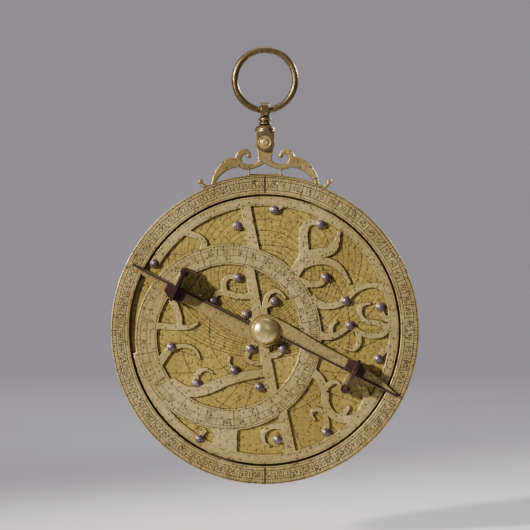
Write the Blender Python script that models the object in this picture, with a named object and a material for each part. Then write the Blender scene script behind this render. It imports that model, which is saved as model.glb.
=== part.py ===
"""A planispheric astrolabe hanging from its ring, as separate pieces.

Metres, +Z up, the front faces -Y. The origin is the inside top of the ring, where a thumb or a hook holds it.
Shapes are drawn in millimetres on the instrument's face: x to the right and z up from the centre pin, and depth
forwards from the flat back of the mater.
"""

import math

import bmesh
import bpy
import numpy as np
from mathutils import Matrix, Vector
from mathutils.geometry import delaunay_2d_cdt

MM = 0.001
FIT = 0.05  # between flat faces that lie on each other
MERGE = 0.0004  # closer outline points than this are one point

# Driving dimensions
LIMB_R = 77.5
LIMB_INNER_R = 68.4
BACK_THICK = 2.0
LIMB_FRONT = 8.6
PLATE_R = 67.4
PLATE_THICK = 0.95
PLATE_COUNT = 4
RETE_R = 67.3
RETE_RING_WIDTH = 4.6
RETE_THICK = 1.4
CAPRICORN_R = 65.6
OBLIQUITY = math.radians(23.6)
ALIDADE_R = 76.5
VANE_AT = 49.0
VANE_WIDTH = 16.4
VANE_HEIGHT = 12.0
PIN_R = 1.75
PIN_HOLE_R = 1.95
PIN_HEAD_R = 6.75
RING_R = 15.2
RING_WIRE_R = 1.7
PIVOT_Z = 94.4
PIVOT_BOSS_R = 4.9
RING_Z = 126.2

# How the moving pieces stand at rest, in degrees anticlockwise seen from the front
RETE_TURN = 191.0
ALIDADE_TURN = -26.8

# Worked out from them
RETE_BACK = BACK_THICK + FIT + PLATE_COUNT * (PLATE_THICK + FIT)
RETE_FRONT = RETE_BACK + RETE_THICK
BOSS_HEIGHT = 1.5
ALIDADE_BACK = RETE_FRONT + FIT + BOSS_HEIGHT + 0.3
ALIDADE_FRONT = ALIDADE_BACK + 1.7
THRONE_DEPTH = (0.5, 7.0)
HANG_DEPTH = sum(THRONE_DEPTH) / 2
HANG_Z = RING_Z + RING_R - RING_WIRE_R
EYE_Z = RING_Z - RING_R

BRASS = (0.56, 0.45, 0.2, 1.0)
BRONZE = (0.28, 0.19, 0.08, 1.0)
SILVER = (0.5, 0.47, 0.52, 1.0)


def clear_scene():
    for obj in list(bpy.data.objects):
        bpy.data.objects.remove(obj)


def material(name, colour, roughness):
    made = bpy.data.materials.new(name)
    made.use_nodes = True
    shader = made.node_tree.nodes["Principled BSDF"]
    shader.inputs["Base Color"].default_value = colour
    shader.inputs["Roughness"].default_value = roughness
    shader.inputs["Metallic"].default_value = 1.0
    return made


# ---------------------------------------------------------------- outlines on the instrument's face


def point(radius, degrees, centre=(0.0, 0.0)):
    angle = math.radians(degrees)
    return Vector((centre[0] + radius * math.cos(angle), centre[1] + radius * math.sin(angle)))


def disc(radius, centre=(0.0, 0.0), steps=24):
    return [[point(radius, 360 * i / steps, centre) for i in range(steps)]]


def arc_band(outer, inner, start, end, steps, centre=(0.0, 0.0)):
    """A band between two radii, as quads, from start to end in degrees."""
    angles = [start + (end - start) * i / steps for i in range(steps + 1)]
    return [
        [point(inner, a, centre), point(outer, a, centre), point(outer, b, centre), point(inner, b, centre)]
        for a, b in zip(angles, angles[1:])
    ]


def curve_through(points, steps):
    """Points on a smooth Catmull-Rom curve through the given ones."""
    knots = [Vector(p) for p in points]
    knots = [2 * knots[0] - knots[1], *knots, 2 * knots[-1] - knots[-2]]
    made = []
    for a, b, c, d in zip(knots, knots[1:], knots[2:], knots[3:]):
        for i in range(steps):
            t = i / steps
            made.append(
                0.5 * (2 * b + (c - a) * t + (2 * a - 5 * b + 4 * c - d) * t**2 + (3 * b - a - 3 * c + d) * t**3)
            )
    return [*made, knots[-2]]


def ribbon(points, widths, steps=3):
    """A strap along a smooth curve through points. widths run from its root to its tip, spread evenly."""
    path = curve_through(points, steps)
    sides = []
    for i, here in enumerate(path):
        along = (path[min(i + 1, len(path) - 1)] - path[max(i - 1, 0)]).normalized()
        share = i / (len(path) - 1) * (len(widths) - 1)
        low = min(int(share), len(widths) - 2)
        width = widths[low] + (widths[low + 1] - widths[low]) * (share - low)
        across = Vector((-along.y, along.x)) * width / 2
        sides.append((here - across, here + across))
    return [[a, c, d, b] for (a, b), (c, d) in zip(sides, sides[1:])]


def mirrored(polygons):
    return [[Vector((-p.x, p.y)) for p in reversed(polygon)] for polygon in polygons]


def area(polygon):
    return sum(a.x * b.y - b.x * a.y for a, b in zip(polygon, [*polygon[1:], polygon[0]])) / 2


def flat_shape(adds, cuts=()):
    """The union of the polygons in adds less those in cuts, as (points, triangles)."""
    polygons = [p if area(p) > 0 else p[::-1] for p in [*adds, *cuts]]
    points, faces = [], []
    for polygon in polygons:
        faces.append(list(range(len(points), len(points) + len(polygon))))
        points += [Vector((round(p.x, 4), round(p.y, 4))) for p in polygon]
    points, _, triangles, _, _, owners = delaunay_2d_cdt(points, [], faces, 1, MERGE)
    uses = {}
    for triangle, owner in zip(triangles, owners):
        if owner and max(owner) < len(adds):
            for a, b in zip(triangle, [*triangle[1:], triangle[0]]):
                uses[frozenset((a, b))] = uses.get(frozenset((a, b)), 0) + 1
    outline = [tuple(edge) for edge, count in uses.items() if count == 1]
    used = sorted({end for edge in outline for end in edge})
    place = {old: new for new, old in enumerate(used)}
    outline = [(place[a], place[b]) for a, b in outline]
    rim = [points[i] for i in used]
    points, _, triangles, *_ = delaunay_2d_cdt(rim, outline, [], 0, MERGE)
    starts = np.array([rim[a] for a, _ in outline])
    ends = np.array([rim[b] for _, b in outline])
    return points, [t for t in triangles if encloses(starts, ends, sum((points[i] for i in t), Vector((0, 0))) / 3)]


def encloses(starts, ends, spot):
    """Whether the closed outline made of these edges has spot inside it."""
    crosses = (starts[:, 1] > spot.y) != (ends[:, 1] > spot.y)
    low, high = starts[crosses], ends[crosses]
    at = low[:, 0] + (spot.y - low[:, 1]) * (high[:, 0] - low[:, 0]) / (high[:, 1] - low[:, 1])
    return np.count_nonzero(at > spot.x) % 2 == 1


# ---------------------------------------------------------------- solids and objects


def smooth(mesh, degrees=35):
    mesh.shade_smooth()
    mesh.set_sharp_from_angle(angle=math.radians(degrees))


def solid(name, bm, look, parent):
    """A named object from a bmesh in millimetres, at its parent's origin."""
    bmesh.ops.recalc_face_normals(bm, faces=bm.faces)
    bmesh.ops.scale(bm, vec=(MM, MM, MM), verts=bm.verts)
    mesh = bpy.data.meshes.new(name)
    bm.to_mesh(mesh)
    bm.free()
    mesh.materials.append(look)
    smooth(mesh)
    obj = bpy.data.objects.new(name, mesh)
    bpy.context.scene.collection.objects.link(obj)
    obj.parent = parent
    return obj


def prism_bmesh(shape, back, front):
    """The flat shape, solid between two depths. Depth runs towards -Y."""
    points, triangles = shape
    bm = bmesh.new()
    ends = [[bm.verts.new((p.x, -depth, p.y)) for p in points] for depth in (back, front)]
    sides = {}
    for triangle in triangles:
        for verts in ends:
            bm.faces.new([verts[i] for i in triangle])
        for a, b in zip(triangle, [*triangle[1:], triangle[0]]):
            sides[frozenset((a, b))] = (a, b) if frozenset((a, b)) not in sides else None
    for edge in filter(None, sides.values()):
        bm.faces.new([ends[0][edge[0]], ends[0][edge[1]], ends[1][edge[1]], ends[1][edge[0]]])
    loose = [v for v in bm.verts if not v.link_faces]
    bmesh.ops.delete(bm, geom=loose, context="VERTS")
    return bm


def prism(name, shape, back, front, look, parent):
    return solid(name, prism_bmesh(shape, back, front), look, parent)


def turned_bmesh(profile, steps, closed=False):
    """A shape turned about Z from (radius, height) pairs. closed joins the profile's end to its start."""
    bm = bmesh.new()
    rows = []
    for radius, height in profile:
        if radius == 0:
            rows.append([bm.verts.new((0, 0, height))] * steps)
            continue
        turns = [point(radius, 360 * i / steps) for i in range(steps)]
        rows.append([bm.verts.new((p.x, p.y, height)) for p in turns])
    pairs = list(zip(rows, rows[1:]))
    if closed:
        pairs.append((rows[-1], rows[0]))
    for low, high in pairs:
        for i in range(steps):
            j = (i + 1) % steps
            corners = dict.fromkeys([low[i], low[j], high[j], high[i]])
            bm.faces.new(list(corners))
    return bm


def facing_front(bm):
    """Turns a shape made along +Z so that it points to the front."""
    bmesh.ops.rotate(bm, verts=bm.verts, cent=(0, 0, 0), matrix=Matrix.Rotation(math.radians(90), 3, "X"))
    return bm


def box_bmesh(low, high):
    bm = bmesh.new()
    bmesh.ops.create_cube(bm, size=1.0)
    size = Vector(high) - Vector(low)
    middle = (Vector(high) + Vector(low)) / 2
    bmesh.ops.scale(bm, vec=size, verts=bm.verts)
    bmesh.ops.translate(bm, vec=middle, verts=bm.verts)
    return bm


def combine(target, helper, operation):
    """Joins a helper to target, or cuts it away, with a Boolean modifier."""
    helper.hide_render = True
    helper.display_type = "WIRE"
    modifier = target.modifiers.new(helper.name, "BOOLEAN")
    modifier.operation = operation
    modifier.solver = "EXACT"
    modifier.object = helper


def pivot(name, x, z, depth, parent=None, turn=0.0):
    """An empty on a joint's axis, at a point given on the face. turn is anticlockwise from the front."""
    empty = bpy.data.objects.new(name, None)
    bpy.context.scene.collection.objects.link(empty)
    world = Matrix.Translation(Vector((x, HANG_DEPTH - depth, z - HANG_Z)) * MM)
    world @= Matrix.Rotation(-math.radians(turn), 4, "Y")
    empty.parent = parent
    empty["world"] = [value for row in world for value in row]
    base = parent_world(parent).inverted() if parent else Matrix.Identity(4)
    empty.matrix_local = base @ world
    return empty


def parent_world(empty):
    values = list(empty["world"])
    return Matrix([values[0:4], values[4:8], values[8:12], values[12:16]])


# ---------------------------------------------------------------- the mater and what is fixed in it

LUG_WIDTH = 4.0
LUG_TOP = 70.6
POCKET_TOP = 72.2
TANG_HALF = 9.0
TANG_LOW = 71.2
RIVET_R = 0.9
LIMB_RIVET_R = 74.6
LIMB_RIVET_AT = (30, 150, 195, 240, 300, 345)
THRONE_RIVET_X = 5.0
THRONE_RIVET_Z = 74.2
SEAT_R = 5.6
SEAT_DEPTH = 0.25


def rivet_places():
    limb = {f"limb_rivet_{i + 1}": point(LIMB_RIVET_R, a) for i, a in enumerate(LIMB_RIVET_AT)}
    throne = {
        "throne_rivet_left": Vector((-THRONE_RIVET_X, THRONE_RIVET_Z)),
        "throne_rivet_right": Vector((THRONE_RIVET_X, THRONE_RIVET_Z)),
    }
    return limb, throne


def rivet_holes(places):
    return [disc(RIVET_R + 0.1, p, 12)[0] for p in places.values()]


def rectangle(x_low, x_high, z_low, z_high):
    return [Vector((x_low, z_low)), Vector((x_high, z_low)), Vector((x_high, z_high)), Vector((x_low, z_high))]


def make_mater(parent, brass):
    limb_rivets, throne_rivets = rivet_places()
    tang_room = rectangle(-TANG_HALF - 0.1, TANG_HALF + 0.1, TANG_LOW - 0.1, LIMB_R + 2)
    pin_hole = disc(PIN_HOLE_R)[0]
    back = flat_shape(disc(LIMB_R, steps=112), [pin_hole, tang_room, *rivet_holes(limb_rivets)])
    plate = prism("mater_back_plate", back, 0, BACK_THICK, brass, parent)
    # The washer behind sits in a shallow turned seat.
    seat = flat_shape(disc(SEAT_R, steps=32))
    combine(plate, prism("washer_seat", seat, -1, SEAT_DEPTH, brass, parent), "DIFFERENCE")

    holes = rivet_holes({**limb_rivets, **throne_rivets})
    ring = flat_shape(arc_band(LIMB_R, LIMB_INNER_R, 0, 360, 112), holes)
    limb = prism("limb_ring", ring, BACK_THICK + FIT, LIMB_FRONT, brass, parent)
    # The plates' lugs tip in under the limb's face, into a pocket in its inner wall.
    pocket = flat_shape([rectangle(-LUG_WIDTH / 2 - 0.3, LUG_WIDTH / 2 + 0.3, LIMB_INNER_R - 3, POCKET_TOP)])
    combine(limb, prism("lug_pocket", pocket, 0, RETE_BACK + 0.3, brass, parent), "DIFFERENCE")

    for name, place in {**limb_rivets, **throne_rivets}.items():
        body = flat_shape(disc(RIVET_R, place, 12))
        prism(name, body, 0.02, LIMB_FRONT - 0.02, brass, parent)


def make_throne(parent, brass):
    """The crest over the limb: two scrolled arms, their struts and the eye that the shackle holds."""
    rail = arc_band(LIMB_R + 0.9, LIMB_R + 0.1, 66.5, 113.5, 16)
    arm = ribbon(
        [(26.6, 72.8), (24.6, 77.8), (21.0, 82.0), (16.4, 84.4), (11.6, 84.0)],
        [1.6, 2.6, 3.7, 4.6, 5.4, 5.2, 3.0],
    )
    scroll = ribbon(
        [(0.0, 86.2), (2.6, 84.3), (5.6, 82.8), (9.0, 82.2), (12.2, 83.4), (13.5, 86.4), (12.2, 89.3), (9.6, 90.0),
         (7.7, 88.4)],
        [3.4, 2.8, 2.4, 2.5, 3.0, 3.3, 3.3, 2.6, 1.7],
        3,
    )
    curl_end = disc(1.15, (8.1, 87.9), 12)
    toe = ribbon([(30.0, 72.0), (31.6, 73.4), (32.4, 74.9)], [2.2, 1.4], 3)
    toe_ball = disc(1.3, (32.4, 74.9), 12)
    strut = [rectangle(7.5, 8.4, LIMB_R - 0.2, 81.6)]
    half = [*arm, *scroll, *curl_end, *toe, *toe_ball, *strut]
    neck = [[Vector((-3.4, 85.0)), Vector((3.4, 85.0)), Vector((4.3, 92.5)), Vector((-4.3, 92.5))]]
    boss = disc(PIVOT_BOSS_R, (0, PIVOT_Z), 32)
    # The arms and toes end on the limb's rim, so what would lie over it is cut back.
    rim = disc(LIMB_R + 0.1, steps=112)
    outline = flat_shape([*half, *mirrored(half), *rail, *neck, *boss], [*rim, *disc(1.5, (0, PIVOT_Z), 20)])
    throne = prism("throne", outline, *THRONE_DEPTH, brass, parent)

    # A thin tang reaches in behind the limb, in a notch of the back plate, and two rivets hold it.
    holes = [disc(RIVET_R + 0.1, (x, THRONE_RIVET_Z), 12)[0] for x in (-THRONE_RIVET_X, THRONE_RIVET_X)]
    tang = flat_shape([rectangle(-TANG_HALF, TANG_HALF, TANG_LOW, LIMB_R + 1.3)], holes)
    helper = prism("throne_tang", tang, FIT, BACK_THICK - 0.1, brass, parent)
    combine(throne, helper, "UNION")


def make_plates(parent, brass):
    """The latitude plates, each kept from turning by a lug in the limb's notch."""
    lug = rectangle(-LUG_WIDTH / 2, LUG_WIDTH / 2, PLATE_R - 1, LUG_TOP)
    shape = flat_shape([*disc(PLATE_R, steps=96), lug], disc(PIN_HOLE_R))
    for i in range(PLATE_COUNT):
        back = BACK_THICK + FIT + i * (PLATE_THICK + FIT)
        prism(f"latitude_plate_{i + 1}", shape, back, back + PLATE_THICK, brass, parent)


# ---------------------------------------------------------------- the rete

BOSS_R = 1.85
PAD_R = 2.3

# Each star's place on the face and the strap that carries it, as points from root to tip and its widths.
# A star with no strap sits on the rete's own ring.
STARS = [
    ((4.7, 60.6), [(9.4, 64.5), (4.7, 60.6)], [5.0, 2.4]),
    ((-13.8, 52.6), [(-8.4, 53.4), (-11.0, 53.6), (-13.8, 52.6)], [4.4, 2.6]),
    ((28.0, 53.4), [(29.6, 57.4), (28.0, 53.4)], [4.6, 3.0]),
    ((-55.6, 33.6), [], []),
    ((-13.4, 26.4), [(-20.2, 18.8), (-20.8, 23.4), (-18.4, 26.8), (-13.4, 26.4)], [3.0, 2.4, 2.0]),
    ((30.7, 26.4), [(17.0, 24.6), (22.4, 23.2), (27.6, 23.4), (30.7, 26.4)], [4.0, 3.0, 2.2]),
    ((4.9, 14.4), [(0.0, 12.0), (4.9, 14.4)], [2.6, 2.2]),
    ((40.7, 14.8), [(23.0, 15.4), (29.2, 12.4), (35.4, 12.6), (40.7, 14.8)], [5.0, 3.2, 2.6]),
    ((58.2, 11.6), [(63.8, 5.4), (59.6, 6.6), (58.2, 11.6)], [3.6, 2.2]),
    ((-9.3, 7.9), [(-3.4, 4.0), (-9.3, 7.9)], [3.2, 2.6]),
    ((42.8, 2.4), [(25.6, -1.6), (31.0, -3.4), (36.4, -2.2), (42.8, 2.4)], [4.2, 3.0, 2.4]),
    ((-47.0, -8.6), [(-53.4, -16.4), (-50.4, -12.8), (-47.0, -8.6)], [4.4, 2.6]),
    ((-7.2, -9.3), [(-2.6, -4.0), (-7.2, -9.3)], [3.4, 2.6]),
    ((8.9, -9.4), [(2.2, -12.6), (6.0, -12.4), (8.9, -9.4)], [3.0, 2.2]),
    ((57.2, -14.4), [(64.0, -8.6), (60.4, -10.0), (57.2, -14.4)], [3.6, 2.2]),
    ((-15.2, -20.3), [(-13.4, -24.6), (-15.2, -20.3)], [3.6, 2.4]),
    ((-34.5, -26.6), [(-34.0, -31.0), (-34.5, -26.6)], [3.6, 2.4]),
    ((-2.6, -28.6), [(3.0, -27.0), (-2.6, -28.6)], [3.6, 2.4]),
    ((30.8, -51.4), [(33.4, -56.4), (30.8, -51.4)], [4.6, 3.0]),
    ((6.4, -55.0), [(11.2, -54.4), (6.4, -55.0)], [3.8, 2.6]),
    ((-32.8, -54.8), [(-34.6, -57.4), (-32.8, -54.8)], [4.0, 3.0]),
    ((-25.9, 14.8), [(-20.2, 18.8), (-24.4, 18.4), (-25.9, 14.8)], [2.6, 2.2]),
]

# Straps, scrolls and leaves that carry no star.
STRAPS = [
    ([(14.8, 28.6), (19.6, 36.6), (19.5, 43.2), (19.4, 49.0), (21.8, 53.8), (28.0, 54.6)], [5.6, 4.8, 4.4, 3.6, 2.6]),
    ([(19.0, 37.0), (25.4, 38.8), (31.4, 39.4), (35.6, 43.0), (37.6, 50.0)], [4.0, 4.6, 4.4, 1.0]),
    ([(16.0, 31.4), (24.0, 34.6), (32.4, 34.4), (38.4, 30.4), (42.8, 23.6)], [4.4, 3.6, 3.4, 1.0]),
    ([(40.7, 14.8), (45.0, 19.4), (50.4, 22.2), (56.6, 22.4), (62.8, 19.0)], [2.4, 2.4, 2.6, 3.6]),
    ([(62.6, 0.6), (56.6, 3.6), (50.4, 4.6), (47.6, 8.6), (48.8, 12.6), (53.0, 13.4)], [3.0, 2.4, 2.2, 0.9]),
    ([(42.8, 2.4), (46.8, -0.6), (52.4, -2.8), (58.6, -2.2), (63.6, 2.6)], [2.2, 2.6, 3.4]),
    ([(33.6, -2.8), (33.4, 1.6), (36.4, 4.8)], [2.8, 0.9]),
    ([(46.8, -1.0), (47.6, -6.0), (44.6, -10.0), (40.4, -9.0)], [2.4, 2.0, 0.9]),
    ([(23.0, -20.4), (27.6, -24.6), (30.2, -31.0)], [4.4, 4.0]),
    ([(31.0, -28.0), (35.6, -25.8), (38.6, -28.8)], [3.0, 0.9]),
    ([(30.8, -51.4), (31.2, -46.4), (29.2, -41.2), (25.4, -39.8), (23.4, -42.8), (25.4, -45.2)], [2.6, 2.2, 0.9]),
    ([(37.6, -44.2), (40.8, -40.8), (42.6, -38.2)], [3.4, 1.0]),
    ([(-21.0, -46.6), (-19.6, -53.6), (-21.4, -63.0)], [15.0, 11.0, 14.0]),
    ([(-29.6, -50.4), (-31.6, -52.0), (-32.8, -54.8)], [1.6, 2.4]),
    ([(8.6, -48.4), (3.0, -48.6), (-0.8, -51.8), (-0.4, -56.4), (2.4, -58.4)], [3.0, 2.2, 0.9]),
    ([(-43.0, 50.4), (-37.4, 48.4), (-32.6, 46.6), (-30.6, 43.2), (-31.6, 38.0)], [3.4, 2.8, 3.6]),
    ([(-3.6, 18.0), (-12.0, 17.0), (-20.2, 18.8)], [3.4, 3.0]),
    ([(0.0, 6.0), (-0.2, 12.6), (2.2, 18.6), (6.6, 19.6), (10.4, 16.0)], [3.4, 2.4, 2.0, 0.9]),
    ([(-56.0, 2.4), (-46.0, 1.6), (-38.4, 1.4), (-33.6, 3.6)], [3.4, 2.6, 0.9]),
    ([(-42.8, 1.4), (-43.4, 7.0), (-46.6, 15.4)], [2.6, 3.6]),
    ([(-47.0, -8.6), (-39.6, -8.0), (-35.0, -10.2), (-32.8, -14.6)], [2.2, 1.9, 0.9]),
    ([(-34.5, -26.6), (-34.2, -22.6), (-30.4, -19.6), (-26.2, -21.6)], [2.4, 1.9, 0.9]),
    ([(-47.6, -25.6), (-38.4, -31.0), (-28.5, -29.4), (-20.0, -25.6), (-10.0, -23.0), (3.0, -21.0)],
     [4.0, 5.2, 5.2, 4.6, 3.6]),
    ([(-7.2, -9.3), (-9.4, -14.4), (-4.4, -16.8), (1.6, -15.6)], [2.4, 1.9, 2.8]),
    ([(-15.2, -20.3), (-18.2, -17.0), (-17.6, -13.0)], [2.2, 0.9]),
]

# The three runs of the straight bar, which the makers set a little out of line.
BARS = [
    ((-10.6, 66.0), (-4.9, 38.6)),
    ((-8.8, 35.0), (4.6, -35.0)),
    ((8.2, -38.6), (13.8, -64.6)),
]
HORSESHOE = (40.6, -34.6)
ECLIPTIC_WIDTH = 10.4
BAR_WIDTH = 4.8
HUB_R = 8.0


def ecliptic():
    """Centre and radius of the ecliptic in the stereographic projection whose outer circle is Capricorn."""
    cancer = CAPRICORN_R * math.tan(math.pi / 4 - OBLIQUITY / 2) ** 2
    return point((CAPRICORN_R - cancer) / 2, RETE_TURN), (CAPRICORN_R + cancer) / 2


def bar(start, end, width):
    return ribbon([start, end], [width, width], 1)


def rete_shape():
    centre, radius = ecliptic()
    inner_centre = centre + Vector((0.3, 0.3))
    outer_ring = arc_band(RETE_R, RETE_R - RETE_RING_WIDTH, -170, 148, 90)
    zodiac = [
        [point(radius - ECLIPTIC_WIDTH, a, inner_centre), point(radius, a, centre),
         point(radius, b, centre), point(radius - ECLIPTIC_WIDTH, b, inner_centre)]
        for a, b in ((360 * i / 72, 360 * (i + 1) / 72) for i in range(72))
    ]
    straps = [quad for points, widths in STRAPS for quad in ribbon(points, widths)]
    straps += [quad for _, points, widths in STARS if points for quad in ribbon(points, widths)]
    bars = [quad for start, end in BARS for quad in bar(start, end, BAR_WIDTH)]
    pads = [disc(PAD_R, place, 14)[0] for place, _, _ in STARS]
    adds = [*outer_ring, *zodiac, *bars, *straps, *pads, *disc(HUB_R, steps=36)]
    adds += arc_band(12.3, 8.4, 160, 425, 30, HORSESHOE)
    adds += ribbon([(46.4, -24.6), (51.4, -26.4), (58.0, -25.6)], [3.6, 4.4])
    cuts = [disc(PIN_HOLE_R)[0], *(disc(0.7, place, 8)[0] for place, _, _ in STARS)]
    return flat_shape(adds, cuts)


def make_rete(parent, brass, silver):
    """The star map. Its outline is drawn on the face, so it is turned back into the pivot's own frame."""
    bm = prism_bmesh(rete_shape(), RETE_BACK, RETE_FRONT)
    back_turn = Matrix.Rotation(math.radians(RETE_TURN), 3, "Y")
    bmesh.ops.rotate(bm, verts=bm.verts, cent=(0, 0, 0), matrix=back_turn)
    solid("rete", bm, brass, parent)

    profile = [(0, -1.3), (0.5, -1.3), (0.5, FIT), (BOSS_R, FIT), (1.6, 0.8), (0.9, 1.36), (0, BOSS_HEIGHT)]
    shared = None
    for i, (place, _, _) in enumerate(STARS):
        name = f"star_boss_{i + 1:02d}"
        if shared is None:
            boss = solid(name, facing_front(turned_bmesh(profile, 10)), silver, parent)
            shared = boss.data
        else:
            boss = bpy.data.objects.new(name, shared)
            bpy.context.scene.collection.objects.link(boss)
            boss.parent = parent
        boss.location = back_turn @ Vector((place[0], -RETE_FRONT, place[1])) * MM


# ---------------------------------------------------------------- the alidade, the pin and its wedge

TENON_WIDTH = 4.0
VANE_THICK = 1.6
FOOT_THICK = 2.6
FOOT_HALF = 5.2
PAD_HALF = 2.4
LOBE_AT = 8.0
LOBE_R = 2.4
WEDGE_SLOT = (-3.2, -0.9)
WEDGE_THICK = 1.3


def half_turn(polygon):
    return [-p for p in polygon]


def vane_slot(at):
    across = TENON_WIDTH / 2 + 0.1
    return rectangle(at - VANE_THICK / 2 - 0.1, at + VANE_THICK / 2 + 0.1, -across, across)


def make_alidade(parent, brass, bronze):
    """The sighting rule, drawn along +X. Its fiducial edge runs through the centre and changes side there."""
    edge = [(0, 8.0), (9.0, 8.0), (30.0, 6.5), (VANE_AT, 5.8), (58.0, 5.0), (67.0, 3.0), (ALIDADE_R, 0)]
    blade = [Vector((0, 0)), *(Vector(p) for p in reversed(edge))]
    pad = rectangle(VANE_AT - PAD_HALF, VANE_AT + PAD_HALF, -LOBE_AT, 7.4)
    lobe = disc(LOBE_R + 0.2, (VANE_AT, -LOBE_AT), 16)[0]
    adds = [blade, pad, lobe, half_turn(blade), half_turn(pad), half_turn(lobe), *disc(8.2, steps=40)]
    shape = flat_shape(adds, [vane_slot(VANE_AT), vane_slot(-VANE_AT), disc(PIN_HOLE_R)[0]])
    prism("alidade_rule", shape, ALIDADE_BACK, ALIDADE_FRONT, brass, parent)

    for name, side in (("sight_vane_left", -1), ("sight_vane_right", 1)):
        make_vane(name, side, parent, bronze)


def make_vane(name, side, parent, look):
    """A pierced sight on a foot, with a tenon through the rule. Its outline is drawn across the rule and forwards."""
    at = side * VANE_AT
    half, foot, top = VANE_WIDTH / 2, ALIDADE_FRONT + FIT, ALIDADE_FRONT + VANE_HEIGHT
    flank = [(half, foot), (half, foot + 5.0), (half - 1.7, foot + 6.4), (half - 1.7, top - 3.4), (half - 3.6, top - 1.0)]
    outline = [Vector(p) for p in flank] + [Vector((0, top))] + [Vector((-x, y)) for x, y in reversed(flank)]
    tenon = rectangle(-TENON_WIDTH / 2, TENON_WIDTH / 2, ALIDADE_BACK, foot + 1)
    holes = [*disc(0.5, (0, top - 3.2), 12), *disc(1.0, (0, top - 7.4), 16)]
    bm = prism_bmesh(flat_shape([outline, tenon], holes), -VANE_THICK / 2, VANE_THICK / 2)
    # The outline's across and forwards axes become Z and -Y, and its thickness lies along the rule.
    bmesh.ops.transform(bm, matrix=Matrix(((0, 1, 0, at), (0, 0, -1, 0), (1, 0, 0, 0), (0, 0, 0, 1))), verts=bm.verts)
    vane = solid(name, bm, look, parent)
    near, far = VANE_AT - FOOT_HALF, VANE_AT + FOOT_HALF
    block = [(near, 0.4), (far, 0.4), (far, 4.9), (VANE_AT + 1.8, 7.1), (VANE_AT - 1.8, 7.1), (near, 5.9)]
    plan = [
        [Vector((x, z)) * side for x, z in block],
        disc(LOBE_R, (at, -LOBE_AT * side), 16)[0],
    ]
    combine(vane, prism(name + "_foot", flat_shape(plan), foot, foot + FOOT_THICK, look, parent), "UNION")


def make_pin(parent, brass):
    """The domed pin that everything turns on, its washers, and a slot behind for the wedge."""
    head = ALIDADE_FRONT + 0.1
    profile = [(0, -5.2), (PIN_R - 0.5, -5.2), (PIN_R, -4.6), (PIN_R, head), (PIN_HEAD_R - 0.3, head)]
    dome = [(PIN_HEAD_R * math.cos(math.radians(a)), head + 0.5 + 4.0 * math.sin(math.radians(a))) for a in range(0, 90, 18)]
    profile += [*dome, (0, head + 4.5)]
    pin = solid("centre_pin", facing_front(turned_bmesh(profile, 32)), brass, parent)
    low, high = WEDGE_SLOT
    slot = box_bmesh((-5, -high, -WEDGE_THICK / 2 - 0.1), (5, -low, WEDGE_THICK / 2 + 0.1))
    combine(pin, solid("wedge_slot", slot, brass, parent), "DIFFERENCE")

    spacer = flat_shape(disc(5.4, steps=28), disc(PIN_HOLE_R))
    prism("spacer_washer", spacer, RETE_FRONT + FIT, ALIDADE_BACK - FIT, brass, parent)
    back = flat_shape(disc(5.0, steps=28), disc(PIN_HOLE_R))
    prism("back_washer", back, -1.05, SEAT_DEPTH - FIT, brass, parent)


def make_wedge(parent, bronze):
    """The horse: a wedge through the pin, thicker towards the head that the fingers pull."""
    profile = [
        (-10.0, -1.15), (-10.0, -2.7), (9.0, -3.35), (11.0, -5.0), (13.4, -5.6), (15.0, -4.6), (15.2, -2.8), (13.0, -2.0),
        (10.6, -1.15),
    ]
    outline = flat_shape([[Vector(p) for p in profile]])
    bm = prism_bmesh(outline, -WEDGE_THICK / 2, WEDGE_THICK / 2)
    # The outline is drawn along X and forwards, and its thickness lies along Z.
    bmesh.ops.transform(bm, matrix=Matrix(((1, 0, 0, 0), (0, 0, -1, 0), (0, 1, 0, 0), (0, 0, 0, 1))), verts=bm.verts)
    solid("wedge", bm, bronze, parent)


# ---------------------------------------------------------------- the suspension

EAR_R = 4.7
EAR_GAP = 0.15
BARREL_LOW = PIVOT_Z + PIVOT_BOSS_R + 0.25


def above(height):
    """A height on the face as a height over the shackle's pivot."""
    return height - PIVOT_Z


def make_shackle(parent, bronze, brass):
    """A forked barrel: two ears hold the throne's eye, and the swivel turns in its bore."""
    barrel = [
        (5.0, BARREL_LOW), (5.15, 100.4), (5.0, 101.6), (4.3, 102.7), (3.0, 103.4),
        (1.6, 103.4), (1.6, 100.8), (2.6, 100.8), (2.6, BARREL_LOW),
    ]
    body = turned_bmesh([(r, above(z)) for r, z in barrel], 28, closed=True)
    shackle = solid("shackle", body, bronze, parent)
    half_gap = (THRONE_DEPTH[1] - THRONE_DEPTH[0]) / 2 + EAR_GAP
    hole = disc(1.5, steps=20)
    ear = flat_shape([*disc(EAR_R, steps=32), rectangle(-EAR_R, EAR_R, 0, above(100.2))], hole)
    for name, back, front in (("front_ear", half_gap, 5.15), ("back_ear", -5.15, -half_gap)):
        combine(shackle, prism(name, ear, back, front, bronze, parent), "UNION")

    profile = [(0, -5.8), (1.0, -5.8), (1.9, -5.25), (1.3, -5.25), (1.3, 5.25), (2.2, 5.25), (1.9, 5.65), (0.7, 5.95), (0, 5.95)]
    solid("shackle_pin", facing_front(turned_bmesh(profile, 20)), brass, parent)


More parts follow.
